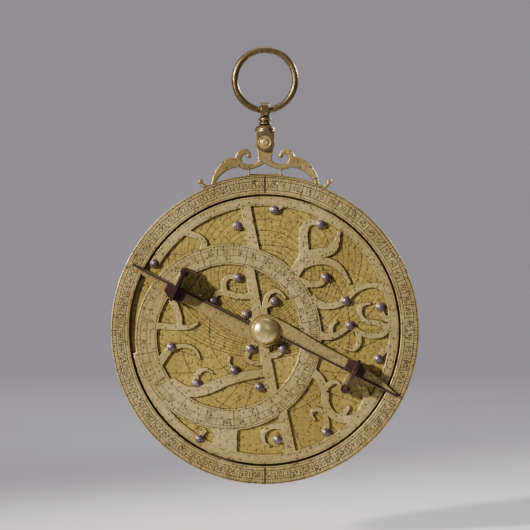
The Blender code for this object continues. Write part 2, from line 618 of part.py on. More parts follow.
def make_swivel(parent, bronze):
    """The beaded spindle that turns in the shackle, with the eye that the ring passes through."""
    profile = [
        (0, BARREL_LOW), (2.3, BARREL_LOW), (2.3, 100.6), (1.35, 100.6), (1.35, 103.55), (2.9, 103.6), (3.2, 104.3),
        (2.3, 105.0), (2.3, 105.2), (3.3, 106.0), (3.2, 106.9), (2.0, 107.6), (1.7, 108.6), (0, 108.6),
    ]
    swivel = solid("swivel", turned_bmesh([(r, z - EYE_Z) for r, z in profile], 20), bronze, parent)
    eye = flat_shape(arc_band(3.8, RING_WIRE_R + 0.4, 0, 360, 28))
    bm = prism_bmesh(eye, -2.2, 2.2)
    bmesh.ops.rotate(bm, verts=bm.verts, cent=(0, 0, 0), matrix=Matrix.Rotation(math.radians(90), 3, "Z"))
    combine(swivel, solid("eye", bm, bronze, parent), "UNION")


def make_ring(parent, bronze):
    section = [
        (RING_R + RING_WIRE_R * math.cos(math.radians(a)), RING_WIRE_R * math.sin(math.radians(a)))
        for a in range(0, 360, 36)
    ]
    bm = facing_front(turned_bmesh(section, 44, closed=True))
    bmesh.ops.translate(bm, vec=(0, 0, RING_Z - HANG_Z), verts=bm.verts)
    solid("ring", bm, bronze, parent)


def main():
    clear_scene()
    brass = material("brass", BRASS, 0.42)
    bronze = material("bronze", BRONZE, 0.4)
    silver = material("silver", SILVER, 0.35)

    ring = pivot("ring_hold", 0, HANG_Z, HANG_DEPTH)
    swivel = pivot("ring_axis", 0, EYE_Z, HANG_DEPTH, ring)
    shackle = pivot("shackle_axis", 0, PIVOT_Z, HANG_DEPTH, swivel)
    mater = pivot("mater_axis", 0, 0, 0, shackle)
    rete = pivot("rete_axis", 0, 0, 0, mater, RETE_TURN)
    alidade = pivot("alidade_axis", 0, 0, 0, mater, ALIDADE_TURN)

    make_ring(ring, bronze)
    make_swivel(swivel, bronze)
    make_shackle(shackle, bronze, brass)
    make_mater(mater, brass)
    make_throne(mater, brass)
    make_plates(mater, brass)
    make_rete(rete, brass, silver)
    make_alidade(alidade, brass, bronze)
    make_pin(mater, brass)
    make_wedge(mater, bronze)


main()
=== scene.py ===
"""The looks of a hanging planispheric astrolabe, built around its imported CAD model.

Shapes are drawn in millimetres on the instrument's face: x to the right and z up from the centre pin, and
depth forwards from the flat back of the mater. On the back, x is to the right of one who looks at the back.
"""

import math

import bmesh
import bpy
from mathutils import Matrix, Vector


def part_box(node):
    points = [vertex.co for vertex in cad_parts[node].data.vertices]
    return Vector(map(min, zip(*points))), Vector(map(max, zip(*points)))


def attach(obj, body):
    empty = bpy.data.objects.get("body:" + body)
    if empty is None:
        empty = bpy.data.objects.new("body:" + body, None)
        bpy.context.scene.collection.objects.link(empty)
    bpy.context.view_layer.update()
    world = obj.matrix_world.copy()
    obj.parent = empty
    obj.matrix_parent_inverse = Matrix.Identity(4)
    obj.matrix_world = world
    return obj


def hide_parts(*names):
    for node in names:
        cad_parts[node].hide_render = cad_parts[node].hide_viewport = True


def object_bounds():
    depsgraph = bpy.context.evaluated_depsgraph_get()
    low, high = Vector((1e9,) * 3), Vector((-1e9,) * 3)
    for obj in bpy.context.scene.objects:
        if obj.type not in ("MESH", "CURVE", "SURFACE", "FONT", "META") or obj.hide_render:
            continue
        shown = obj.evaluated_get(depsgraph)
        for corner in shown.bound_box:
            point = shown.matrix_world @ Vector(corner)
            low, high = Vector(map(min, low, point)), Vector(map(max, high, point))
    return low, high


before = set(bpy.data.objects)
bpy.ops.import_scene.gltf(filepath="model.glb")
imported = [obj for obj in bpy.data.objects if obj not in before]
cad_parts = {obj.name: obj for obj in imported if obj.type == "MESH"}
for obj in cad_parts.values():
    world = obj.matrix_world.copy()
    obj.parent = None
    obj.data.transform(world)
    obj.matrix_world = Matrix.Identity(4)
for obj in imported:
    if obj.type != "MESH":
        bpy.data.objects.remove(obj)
CAD_BOX = [list(corner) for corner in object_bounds()]

MM = 0.001
BACK_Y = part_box("mater_back_plate")[1].y
LIMB_LOW, LIMB_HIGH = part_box("limb_ring")
CENTRE_Z = (LIMB_LOW.z + LIMB_HIGH.z) / 2
RING_LOW, RING_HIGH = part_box("ring")
RING_MIDDLE = (RING_LOW + RING_HIGH) / 2
WHOLE_MIDDLE = Vector((0, 0, (CAD_BOX[0][2] + CAD_BOX[1][2]) / 2))
SHARP_ANGLE = math.radians(38)  # steeper edges than this are shaded sharp


def depths(node):
    """How far a node's back and front lie in front of the mater's back."""
    low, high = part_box(node)
    return (BACK_Y - high.y) / MM, (BACK_Y - low.y) / MM


def spot(x, z, depth):
    """A point of the face's own millimetres as a place in metres."""
    return Vector((x * MM, BACK_Y - depth * MM, CENTRE_Z + z * MM))


LIMB_FRONT = depths("limb_ring")[1]
PLATE_FRONT = depths("latitude_plate_4")[1]
RETE_FRONT = depths("rete")[1]
RULE_FRONT = depths("alidade_rule")[1]

# The star map's projection: the outer circle is Capricorn's, the inner one Cancer's
OBLIQUITY = math.radians(23.6)
CAPRICORN_R = 65.6
EQUATOR_R = CAPRICORN_R * math.tan(math.pi / 4 - OBLIQUITY / 2)
CANCER_R = EQUATOR_R * math.tan(math.pi / 4 - OBLIQUITY / 2)
LATITUDE = math.radians(36)

# How the rete and the rule stand at rest, in degrees anticlockwise seen from the front
RETE_TURN = 191.0
RULE_TURN = -26.8

PIN_ROOM_R = 3.0  # the hole for the pin lies inside this radius, and keeps its square sides
PIN_HEAD_R = 6.75
PIN_SHANK_R = 1.75
PIN_HEAD_RISE = 4.5  # from the head's flat underside to its top
SLOT_DEPTH = -2.05  # of the middle of the slot that the wedge goes through
SLOT_LENGTH = 2.3  # along the pin
EAR_R = 4.7
BARREL_FOOT = 5.6  # how far over the shackle's pivot its ears run into the barrel
TANG_TURN = 7.6  # degrees each side of the top that the throne's tang takes out of the back's rim
STRIP_RISE = 0.018  # how far an engraved strip stands out of its face, and how deep it reaches in


# ---------------------------------------------------------------- looks


class Look:
    """A Principled material that is put together a node at a time."""

    def __init__(self, name, roughness, metallic):
        self.material = bpy.data.materials.new(name)
        self.material.use_nodes = True
        self.tree = self.material.node_tree
        self.shader = self.tree.nodes["Principled BSDF"]
        self.shader.inputs["Roughness"].default_value = roughness
        self.shader.inputs["Metallic"].default_value = metallic
        self.place = self.tree.nodes.new("ShaderNodeTexCoord").outputs["Object"]

    def node(self, kind, **settings):
        made = self.tree.nodes.new("ShaderNode" + kind)
        for key, value in settings.items():
            setattr(made, key, value)
        return made

    def feed(self, socket, value):
        if isinstance(value, bpy.types.NodeSocket):
            self.tree.links.new(value, socket)
        else:
            socket.default_value = value

    def noise(self, scale, detail, roughness, place=None):
        made = self.node("TexNoise")
        self.feed(made.inputs["Vector"], self.place if place is None else place)
        made.inputs["Scale"].default_value = scale
        made.inputs["Detail"].default_value = detail
        made.inputs["Roughness"].default_value = roughness
        return made.outputs["Fac"]

    def scratches(self, scale, turn):
        """Noise drawn out into streaks: scale is how often it changes along each axis once it is turned."""
        place = self.node("Mapping")
        self.feed(place.inputs["Vector"], self.place)
        place.inputs["Scale"].default_value = scale
        place.inputs["Rotation"].default_value = turn
        return self.noise(1.0, 3, 0.5, place.outputs["Vector"])

    def spots(self, scale, size, share):
        """1 in scattered round spots and 0 between. share is how many of the cells have one."""
        cells = self.node("TexVoronoi")
        self.feed(cells.inputs["Vector"], self.place)
        cells.inputs["Scale"].default_value = scale
        near = self.ramp(cells.outputs["Distance"], size, size * 0.45)
        colour = self.node("SeparateColor")
        self.feed(colour.inputs["Color"], cells.outputs["Color"])
        chosen = self.math("LESS_THAN", colour.outputs["Red"], share)
        return self.math("MULTIPLY", near, chosen)

    def ramp(self, value, low, high):
        """0 where value is at low, 1 where it is at high, and smooth between them."""
        made = self.node("MapRange", interpolation_type="SMOOTHSTEP")
        for name, given in (("Value", value), ("From Min", low), ("From Max", high)):
            self.feed(made.inputs[name], given)
        return made.outputs["Result"]

    def math(self, operation, *values):
        made = self.node("Math", operation=operation)
        for socket, value in zip(made.inputs, values):
            self.feed(socket, value)
        return made.outputs[0]

    def mix(self, share, a, b):
        made = self.node("Mix", data_type="RGBA")
        self.feed(made.inputs["Factor"], share)
        self.feed(made.inputs["A"], a)
        self.feed(made.inputs["B"], b)
        return made.outputs["Result"]

    def bump(self, height, depth_mm):
        made = self.node("Bump")
        made.inputs["Distance"].default_value = depth_mm * MM
        self.feed(made.inputs["Height"], height)
        self.feed(self.shader.inputs["Normal"], made.outputs["Normal"])

    def set(self, name, value):
        self.feed(self.shader.inputs[name], value)


def shade(colour, share):
    return (colour[0] * share, colour[1] * share, colour[2] * share, 1.0)


def metal(name, tones, roughness, metallic, pits, stains=0.5, walls=0.0):
    """Aged metal: broad tone, fine mottling, dark pits and stains, and rubbing scratches.

    tones are its pale, deep and stained colours, pits the share of places with a pit, stains how strong the
    stains are, and walls how much darker the sides cut square to the face are: partly patina and partly
    painted shade, standing in for the dark shadow lines along cut edges.
    """
    pale, deep, stain = tones
    look = Look(name, roughness, metallic)
    broad = look.ramp(look.noise(26, 5, 0.6), 0.36, 0.64)
    colour = look.mix(broad, (*pale, 1), (*deep, 1))
    fine = look.ramp(look.noise(560, 5, 0.7), 0.42, 0.6)
    colour = look.mix(look.math("MULTIPLY", fine, 0.68), colour, shade(deep, 0.45))
    blotch = look.ramp(look.noise(120, 6, 0.72), 0.52, 0.68)
    colour = look.mix(look.math("MULTIPLY", blotch, stains), colour, (*stain, 1))
    holes = look.spots(620, 0.47, pits)
    colour = look.mix(look.math("MULTIPLY", holes, 0.78), colour, shade(stain, 0.3))
    # Painted shade: sides cut square to the face darken, partly as patina, partly standing in for shadow
    # lines along cut edges
    if walls:
        facing = look.node("SeparateXYZ")
        look.feed(facing.inputs["Vector"], look.node("TexCoord").outputs["Normal"])
        edge = look.ramp(look.math("ABSOLUTE", facing.outputs["Y"]), 0.55, 0.15)
        colour = look.mix(look.math("MULTIPLY", edge, walls), colour, shade(stain, 0.6))
    look.set("Base Color", colour)

    rubbed = look.scratches((90, 900, 2400), (0.3, 0.5, 0.4))
    rubbed_across = look.scratches((2300, 800, 110), (0.1, 0.7, 0.2))
    marks = look.math("ADD", rubbed, rubbed_across)
    rough = look.math("MULTIPLY_ADD", fine, 0.16, roughness - 0.08)
    rough = look.math("ADD", rough, look.math("MULTIPLY", blotch, 0.12))
    rough = look.math("ADD", rough, look.math("MULTIPLY", look.ramp(marks, 0.95, 1.2), 0.08))
    look.set("Roughness", rough)
    height = look.math("MULTIPLY", marks, 0.5)
    height = look.math("ADD", height, look.math("MULTIPLY", look.noise(420, 6, 0.7), 1.2))
    height = look.math("SUBTRACT", height, look.math("MULTIPLY", holes, 2.0))
    look.bump(height, 0.035)
    return look.material


def engraved(name, colour, worn, cover):
    """The dark of engraved lines, or of a painted shadow strip, worn where the noise passes cover."""
    look = Look(name, 0.62, 0.45)
    rubbed = look.ramp(look.noise(210, 5, 0.65), cover, cover + 0.16)
    look.set("Base Color", look.mix(rubbed, (*colour, 1), (*worn, 1)))
    look.bump(look.noise(1600, 3, 0.6), 0.01)
    return look.material


BRASS_STAIN = (0.1, 0.06, 0.02)
BRASS = ((0.5, 0.375, 0.15), (0.33, 0.24, 0.085), BRASS_STAIN)
RETE_BRASS = ((0.52, 0.39, 0.16), (0.37, 0.27, 0.095), BRASS_STAIN)
PLATE_BRASS = ((0.4, 0.292, 0.068), (0.27, 0.19, 0.04), (0.15, 0.088, 0.022))
THRONE_BRASS = ((0.47, 0.345, 0.135), (0.26, 0.18, 0.065), BRASS_STAIN)
RULE_BRASS = ((0.45, 0.335, 0.13), (0.3, 0.21, 0.07), BRASS_STAIN)
WORN_BRASS = ((0.84, 0.66, 0.29), (0.7, 0.52, 0.19), (0.35, 0.24, 0.1))
BRONZE_TONES = ((0.31, 0.225, 0.115), (0.15, 0.1, 0.045), (0.04, 0.022, 0.011))
DARK_BRONZE = ((0.075, 0.033, 0.03), (0.034, 0.014, 0.013), (0.012, 0.006, 0.005))
# Silver's tones: darkened by tarnish, and tinted violet as a painted reflection of a lilac backdrop
SILVER_TARNISH_AND_REFLECTION = ((0.25, 0.18, 0.2), (0.13, 0.086, 0.103), (0.035, 0.02, 0.026))

# The walls settings below darken the cut sides: partly patina, partly painted shade for the dark shadow
# outlines along edges
MATER = metal("mater_brass_aged", BRASS, 0.44, 0.6, pits=0.36, walls=0.75)
BACK = metal("mater_back_brass_aged", BRASS, 0.44, 0.6, pits=0.06, stains=0.4, walls=0.5)
RETE = metal("rete_brass_aged", RETE_BRASS, 0.42, 0.6, pits=0.45, walls=0.95)
PLATE = metal("plate_brass_aged", PLATE_BRASS, 0.44, 0.5, pits=0.5)
THRONE = metal("throne_brass_aged", THRONE_BRASS, 0.38, 0.7, pits=0.25, walls=0.6)
RULE = metal("rule_brass_aged", RULE_BRASS, 0.38, 0.65, pits=0.2, walls=0.85)
PIN = metal("pin_brass_worn", WORN_BRASS, 0.24, 0.9, pits=0.05, stains=0.2)
BRONZE = metal("suspension_bronze", BRONZE_TONES, 0.33, 0.9, pits=0.15)
VANE = metal("vane_dark_bronze", DARK_BRONZE, 0.35, 0.6, pits=0.1)
# Its walls setting darkens each boss's collar and sides: painted shade for the dark ring of shadow round each
# boss
SILVER = metal("star_silver_tarnish_and_reflection", SILVER_TARNISH_AND_REFLECTION, 0.36, 0.8, pits=0.1, walls=0.9)
LINE = engraved("engraved_dark", (0.02, 0.01, 0.004), (0.12, 0.075, 0.028), 0.58)
FINE_LINE = engraved("engraved_fine", (0.035, 0.018, 0.007), (0.17, 0.11, 0.04), 0.53)
# SHADOW_LINE is painted shadow: a near-black strip for the shade along the raised rule's fiducial edges
SHADOW_LINE = engraved("fiducial_painted_shadow", (0.014, 0.006, 0.004), (0.05, 0.028, 0.014), 0.62)


# ---------------------------------------------------------------- pieces


def place(obj, look, body, slot, replaced=()):
    """Gives a new piece its look and its body, and puts it in the place of the replaced nodes. slot is not
    used.
    """
    obj.data.materials.clear()
    obj.data.materials.append(look)
    obj.data.shade_smooth()
    obj.data.set_sharp_from_angle(angle=SHARP_ANGLE)
    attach(obj, body)
    if replaced:
        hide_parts(*replaced)
    return obj


def mesh_object(name, bm):
    """An object in the scene, from a bmesh that is then freed."""
    mesh = bpy.data.meshes.new(name)
    bm.to_mesh(mesh)
    bm.free()
    obj = bpy.data.objects.new(name, mesh)
    bpy.context.scene.collection.objects.link(obj)
    return obj


def piece(name, bm, look, body, slot, replaced=()):
    """A piece from a bmesh in the row frame, in metres."""
    bmesh.ops.recalc_face_normals(bm, faces=bm.faces)
    return place(mesh_object(name, bm), look, body, slot, replaced)


def copied(node):
    """A CAD node's mesh with its points joined up again."""
    bm = bmesh.new()
    bm.from_mesh(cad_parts[node].data)
    bmesh.ops.remove_doubles(bm, verts=bm.verts, dist=1e-7)
    return bm


def refined(node, name, radius, look, body, slot, steps=3, flare=0.0):
    """The CAD node with the edges of its front and back rounded off.

    With flare, its sides splay out by that much to the back instead, all but those of the hole for the pin.
    """
    bm = copied(node)
    bmesh.ops.recalc_face_normals(bm, faces=bm.faces)
    round_over(bm, -1, radius, steps)
    if flare:
        for vert, way in flat_side(bm, 1)[3].items():
            if math.hypot(vert.co.x, vert.co.z - CENTRE_Z) > PIN_ROOM_R * MM:
                vert.co -= way * flare * MM
    else:
        round_over(bm, 1, radius, steps)
    obj = piece(name, bm, look, body, slot, (node,))
    for face in obj.data.polygons:
        face.use_smooth = abs(face.normal.y) < 0.9999
    return obj


def flat_side(bm, side):
    """The flat face furthest to that side of Y.

    Gives its level, its faces, the edges of its outline, and the way inwards at each corner of the outline.
    """
    level = max(v.co.y * side for v in bm.verts)
    caps = [f for f in bm.faces if all(abs(v.co.y * side - level) < 1e-6 for v in f.verts)]
    flat = set(caps)
    inwards = {}
    rim = []
    for face in caps:
        for loop in face.loops:
            if all(other in flat for other in loop.edge.link_faces):
                continue
            a, b = loop.vert, loop.link_loop_next.vert
            along = (b.co - a.co).normalized()
            inward = Vector((along.z, 0, -along.x)) * (1 if face.normal.y > 0 else -1)
            rim.append((a, b))
            for vert in (a, b):
                inwards.setdefault(vert, []).append(inward)
    ways = {}
    for vert, found in inwards.items():
        way = sum(found, Vector()).normalized()
        ways[vert] = way / max(0.4, way.dot(found[0]))
    return level, caps, rim, ways


def round_over(bm, side, radius, steps):
    """Rounds the outline of the flat face that lies furthest to that side of Y."""
    level, caps, rim, ways = flat_side(bm, side)
    rings = [{vert: vert for vert in ways}]
    for k in range(1, steps + 1):
        angle = math.pi / 2 * k / steps
        inset = radius * (1 - math.cos(angle)) * MM
        drop = radius * (1 - math.sin(angle)) * MM
        ring = {}
        for vert, way in ways.items():
            corner = (vert.co.x + way.x * inset, side * (level - drop), vert.co.z + way.z * inset)
            ring[vert] = bm.verts.new(corner)
        rings.append(ring)
    cap = [[rings[-1].get(vert, vert) for vert in face.verts] for face in caps]
    bmesh.ops.delete(bm, geom=caps, context="FACES_KEEP_BOUNDARY")
    for vert in ways:
        vert.co.y = side * (level - radius * MM)
    for low, high in zip(rings, rings[1:]):
        for a, b in rim:
            bm.faces.new([low[a], low[b], high[b], high[a]])
    for corners in cap:
        bm.faces.new(corners)


def softened(node, name, width, look, body, slot):
    """The CAD node with a narrow bevel on its hard edges."""
    bm = copied(node)
    bmesh.ops.dissolve_limit(bm, angle_limit=math.radians(1), verts=bm.verts, edges=bm.edges)
    obj = piece(name, bm, look, body, slot, (node,))
    bevel = obj.modifiers.new("edge", "BEVEL")
    bevel.width = width * MM
    bevel.segments = 2
    bevel.limit_method = "ANGLE"
    bevel.angle_limit = math.radians(40)
    return obj


def lathe(bm, profile, steps, centre, axis="Z", closed=False):
    """Turns (radius, height) pairs round an axis through centre.

    The height runs along the axis, or forwards on Y. closed joins the profile's end to its start.
    """
    turn = {
        "X": Matrix.Rotation(math.pi / 2, 3, "Y"),
        "Y": Matrix.Rotation(math.pi / 2, 3, "X"),
        "Z": Matrix.Identity(3),
    }[axis]
    rows = []
    for radius, height in profile:
        if radius == 0:
            rows.append([bm.verts.new(centre + turn @ Vector((0, 0, height)) * MM)] * steps)
            continue
        row = []
        for i in range(steps):
            angle = 2 * math.pi * i / steps
            local = Vector((radius * math.cos(angle), radius * math.sin(angle), height))
            row.append(bm.verts.new(centre + turn @ local * MM))
        rows.append(row)
    pairs = list(zip(rows, rows[1:]))
    if closed:
        pairs.append((rows[-1], rows[0]))
    for low, high in pairs:
        for i in range(steps):
            j = (i + 1) % steps
            corners = list(dict.fromkeys([low[i], low[j], high[j], high[i]]))
            if len(corners) > 2:
                bm.faces.new(corners)
    return bm


def rounded(profile, radius, steps=4, closed=False):
    """The profile with its corners rounded off, all but its two ends unless it is closed."""
    made = []
    count = len(profile)
    for i, here in enumerate(profile):
        if not closed and i in (0, count - 1):
            made.append(here)
            continue
        here = Vector(here)
        before = Vector(profile[i - 1]) - here
        after = Vector(profile[(i + 1) % count]) - here
        reach = min(radius, before.length * 0.48, after.length * 0.48)
        start, end = here + before.normalized() * reach, here + after.normalized() * reach
        for k in range(steps + 1):
            t = k / steps
            made.append(tuple(start * (1 - t) ** 2 + here * 2 * t * (1 - t) + end * t**2))
    return made


# ---------------------------------------------------------------- engraving


def polar(radius, degrees, centre=(0.0, 0.0)):
    angle = math.radians(degrees)
    return Vector((centre[0] + radius * math.cos(angle), centre[1] + radius * math.sin(angle)))


def oval(across, up, centre, start, end, steps):
    return [
        (centre[0] + across * math.cos(math.radians(a)), centre[1] + up * math.sin(math.radians(a)))
        for a in (start + (end - start) * i / steps for i in range(steps + 1))
    ]


DIGIT_WIDTH = 0.6
DIGIT_PITCH = 0.76
ARC_STEP = 1.1  # the longest stretch of an arc that is drawn straight
CURVE_STEP = 0.9  # the same on a plate's circles
STRAIGHT_R = 2000  # an hour line of a larger radius is the straight one in the middle, drawn already

# Each numeral as strokes in a box DIGIT_WIDTH wide and 1 high
NUMERALS = {
    "0": [oval(0.26, 0.5, (0.3, 0.5), 0, 360, 10)],
    "1": [[(0.12, 0.8), (0.32, 1.0), (0.32, 0.0)]],
    "2": [[*oval(0.25, 0.26, (0.3, 0.74), 165, -35, 6), (0.04, 0.0), (0.58, 0.0)]],
    "3": [oval(0.24, 0.24, (0.28, 0.76), 150, -80, 6), oval(0.27, 0.26, (0.28, 0.26), 85, -150, 7)],
    "4": [[(0.42, 0.0), (0.42, 1.0), (0.02, 0.3), (0.6, 0.3)]],
    "5": [[(0.52, 1.0), (0.12, 1.0), (0.08, 0.56), *oval(0.27, 0.3, (0.28, 0.3), 110, -150, 8)]],
    "6": [[(0.48, 1.0), (0.16, 0.64), *oval(0.26, 0.26, (0.3, 0.26), 160, -200, 9)]],
    "7": [[(0.04, 1.0), (0.56, 1.0), (0.22, 0.0)]],
    "8": [oval(0.2, 0.23, (0.3, 0.77), 0, 360, 8), oval(0.26, 0.27, (0.3, 0.27), 0, 360, 9)],
    "9": [[(0.12, 0.0), (0.44, 0.36), *oval(0.26, 0.26, (0.3, 0.74), -20, 340, 9)]],
}


class Engraving:
    """Lines on one flat face, as thin closed strips let into it. weight makes them all that much wider."""

    def __init__(self, weight=1.0):
        self.weight = weight
        self.corners = []
        self.faces = []

    def line(self, points, width, closed=False):
        points = [Vector(p) for p in points]
        if closed and (points[0] - points[-1]).length < 1e-4:
            points.pop()
        count = len(points)
        if count < 2:
            return
        first = len(self.corners)
        for i, here in enumerate(points):
            before = points[i - 1] if closed or i else here
            after = points[(i + 1) % count] if closed or i < count - 1 else here
            incoming = (here - before).normalized() if here != before else (after - here).normalized()
            outgoing = (after - here).normalized() if after != here else incoming
            along = incoming + outgoing
            along = along.normalized() if along.length > 0.2 else incoming
            across = Vector((-along.y, along.x))
            mitre = max(0.5, along.dot(incoming))
            across *= width * self.weight / 2 / mitre
            for side, level in ((-1, -1), (1, -1), (1, 1), (-1, 1)):
                corner = here + across * side
                self.corners.append((corner.x, corner.y, level))
        spans = range(count if closed else count - 1)
        for i in spans:
            a, b = first + 4 * i, first + 4 * ((i + 1) % count)
            for k in range(4):
                m = (k + 1) % 4
                self.faces.append((a + k, a + m, b + m, b + k))
        if not closed:
            last = first + 4 * (count - 1)
            self.faces.append((first + 3, first + 2, first + 1, first))
            self.faces.append((last, last + 1, last + 2, last + 3))

    def arc(self, radius, start, end, width, centre=(0.0, 0.0)):
        steps = max(6, math.ceil(abs(math.radians(end - start)) * radius / ARC_STEP))
        turns = [start + (end - start) * i / steps for i in range(steps + 1)]
        self.line([polar(radius, a, centre) for a in turns], width, abs(end - start) >= 360)

    def circle(self, radius, width, centre=(0.0, 0.0)):
        self.arc(radius, 0, 360, width, centre)

    def spoke(self, inner, outer, degrees, width, centre=(0.0, 0.0)):
        self.line([polar(inner, degrees, centre), polar(outer, degrees, centre)], width)

    def number(self, value, at, height, degrees, width):
        """A whole number, centred, with its foot towards degrees minus 90."""
        text = str(value)
        along, up = polar(1, degrees), polar(1, degrees + 90)
        width_of_all = DIGIT_PITCH * (len(text) - 1) + DIGIT_WIDTH
        start = Vector(at) - along * height * width_of_all / 2 - up * height / 2
        for i, digit in enumerate(text):
            corner = start + along * height * DIGIT_PITCH * i
            for stroke in NUMERALS[digit]:
                self.line([corner + along * height * x + up * height * y for x, y in stroke], width)

    def arc_where(self, centre, radius, keep, width):
        """The stretches of a circle whose points pass keep. A large one is only tried near the pin."""
        centre = Vector(centre)
        middle, span = 0.0, 180.0
        if radius > 2 * CAPRICORN_R:
            middle = math.degrees(math.atan2(-centre.y, -centre.x))
            span = math.degrees(math.asin(min(1.0, 1.1 * CAPRICORN_R / radius)))
        steps = math.ceil(math.radians(2 * span) * radius / CURVE_STEP)
        run = []
        for i in range(steps + 1):
            here = polar(radius, middle - span + 2 * span * i / steps, centre)
            if keep(here):
                run.append(here)
                continue
            self.line(run, width)
            run = []
        self.line(run, width)

    def build(self, name, level, look, body, slot, behind=False):
        """Lays the strips on the face at that depth. behind is for a face that looks backwards."""
        bm = bmesh.new()
        out = -1 if behind else 1
        verts = []
        for x, z, side in self.corners:
            verts.append(bm.verts.new(spot(x * out, z, level + out * side * STRIP_RISE)))
        for corners in self.faces:
            bm.faces.new([verts[i] for i in corners])
        return piece(name, bm, look, body, slot)


def almucantar(altitude):
    """Centre height and radius of the circle of one altitude on a plate for LATITUDE."""
    low = math.sin(LATITUDE) + math.sin(math.radians(altitude))
    return EQUATOR_R * math.cos(LATITUDE) / low, EQUATOR_R * math.cos(math.radians(altitude)) / low


HORIZON_Z, HORIZON_R = almucantar(0)


def on_plate(p):
    return p.length < CAPRICORN_R


def over_horizon(p):
    return on_plate(p) and math.hypot(p.x, p.y - HORIZON_Z) < HORIZON_R


def under_horizon(p):
    return on_plate(p) and p.length > CANCER_R and math.hypot(p.x, p.y - HORIZON_Z) > HORIZON_R


def circle_through(a, b, c):
    """Centre and radius of the circle through three points, or None if they lie on a line."""
    ab, ac = b - a, c - a
    cross = 2 * (ab.x * ac.y - ab.y * ac.x)
    if abs(cross) < 1e-6:
        return None
    ux = (ac.y * ab.length_squared - ab.y * ac.length_squared) / cross
    uy = (ab.x * ac.length_squared - ac.x * ab.length_squared) / cross
    return a + Vector((ux, uy)), math.hypot(ux, uy)


def horizon_crossing(radius):
    """How far round from the foot of the plate a circle about its centre meets the horizon, in degrees."""
    height = (radius**2 + HORIZON_Z**2 - HORIZON_R**2) / (2 * HORIZON_Z)
    return math.degrees(math.acos(max(-1.0, min(1.0, -height / radius))))


def engrave_plate():
    """A latitude plate: tropics, equator, altitude and azimuth circles over the horizon, hours under it."""
    lines, fine = Engraving(), Engraving()
    for radius in (CANCER_R, EQUATOR_R, CAPRICORN_R):
        lines.circle(radius, 0.34)
    lines.line([(0, -CAPRICORN_R), (0, -2)], 0.2)
    lines.line([(0, 2), (0, CAPRICORN_R)], 0.2)
    lines.line([(-CAPRICORN_R, 0), (-2, 0)], 0.16)
    lines.line([(2, 0), (CAPRICORN_R, 0)], 0.16)
    for altitude in range(0, 88, 3):
        height, radius = almucantar(altitude)
        keep = over_horizon if altitude else on_plate
        if altitude % 15 == 0:
            lines.arc_where((0, height), radius, keep, 0.34)
        else:
            fine.arc_where((0, height), radius, keep, 0.24)
    zenith = Vector((0, EQUATOR_R * math.tan(math.pi / 4 - LATITUDE / 2)))
    zenith_room = 2.6

    def off_zenith(p):
        return over_horizon(p) and (p - zenith).length > zenith_room

    prime_vertical_r = EQUATOR_R / math.cos(LATITUDE)
    centres_z = -EQUATOR_R * math.tan(LATITUDE)
    for azimuth in (*range(10, 90, 10), *range(100, 180, 10)):
        turn = math.radians(azimuth)
        centre = (prime_vertical_r / math.tan(turn), centres_z)
        fine.arc_where(centre, prime_vertical_r / math.sin(turn), off_zenith, 0.2)
    fine.arc_where((0, centres_z), prime_vertical_r, off_zenith, 0.22)
    for hour in range(1, 12):
        ends = [
            polar(radius, -90 + horizon_crossing(radius) * (hour / 6 - 1))
            for radius in (CANCER_R, EQUATOR_R, CAPRICORN_R)
        ]
        found = circle_through(*ends)
        if found and found[1] < STRAIGHT_R:
            lines.arc_where(found[0], found[1], under_horizon, 0.32)
    hour_radius = EQUATOR_R * 0.86
    for hour in range(12):
        turn = -90 + horizon_crossing(hour_radius) * ((hour + 0.5) / 6 - 1)
        lines.number(hour + 1, polar(hour_radius, turn), 2.6, turn + 90, 0.34)
    for altitude in range(15, 76, 15):
        height, radius = almucantar(altitude)
        for side in (-1, 1):
            at = (side * 1.9, height - radius + 1.5)
            if over_horizon(Vector(at)):
                lines.number(altitude, at, 1.9, 0, 0.26)
    lines.build("plate_circles", PLATE_FRONT, LINE, "mater", "plate_brass")
    fine.build("plate_fine_circles", PLATE_FRONT, FINE_LINE, "mater", "plate_brass")


def engrave_limb():
    """The degree scale round the limb, with its noon and midnight marks."""
    lines, fine = Engraving(), Engraving()
    numbers_in, degrees_in, rim = 70.5, 74.9, 76.8
    numbers_r = (numbers_in + degrees_in) / 2
    for radius, width in ((69.1, 0.24), (numbers_in, 0.34), (degrees_in, 0.34), (rim, 0.4)):
        lines.circle(radius, width)
    for degree in range(360):
        if degree % 5:
            fine.spoke(degrees_in + 0.1, rim - 0.1, degree, 0.22)
            continue
        lines.spoke(numbers_in, rim, degree, 0.34)
        clockwise = (90 - degree) % 360 or 360
        lines.number(clockwise, polar(numbers_r, degree - 2.5), 2.5, degree - 92.5, 0.38)
    for turn in (90, 270):
        lines.spoke(68.9, 77.2, turn, 0.8)
    lines.build("limb_scale", LIMB_FRONT, LINE, "mater", "mater_brass")
    fine.build("limb_fine_scale", LIMB_FRONT, FINE_LINE, "mater", "mater_brass")


def ecliptic():
    """Centre and radius of the outer edge of the ecliptic's ring."""
    return polar((CAPRICORN_R - CANCER_R) / 2, RETE_TURN), (CAPRICORN_R + CANCER_R) / 2


def ecliptic_turn(longitude):
    """The way from the ecliptic's own centre to the point of one longitude on it, in degrees."""
    turn = math.radians(longitude)
    declination = math.asin(math.sin(OBLIQUITY) * math.sin(turn))
    ascension = math.degrees(math.atan2(math.cos(OBLIQUITY) * math.sin(turn), math.cos(turn)))
    reach = EQUATOR_R * math.tan(math.pi / 4 - declination / 2)
    away = polar(reach, RETE_TURN + ascension - 270) - ecliptic()[0]
    return math.degrees(math.atan2(away.y, away.x))


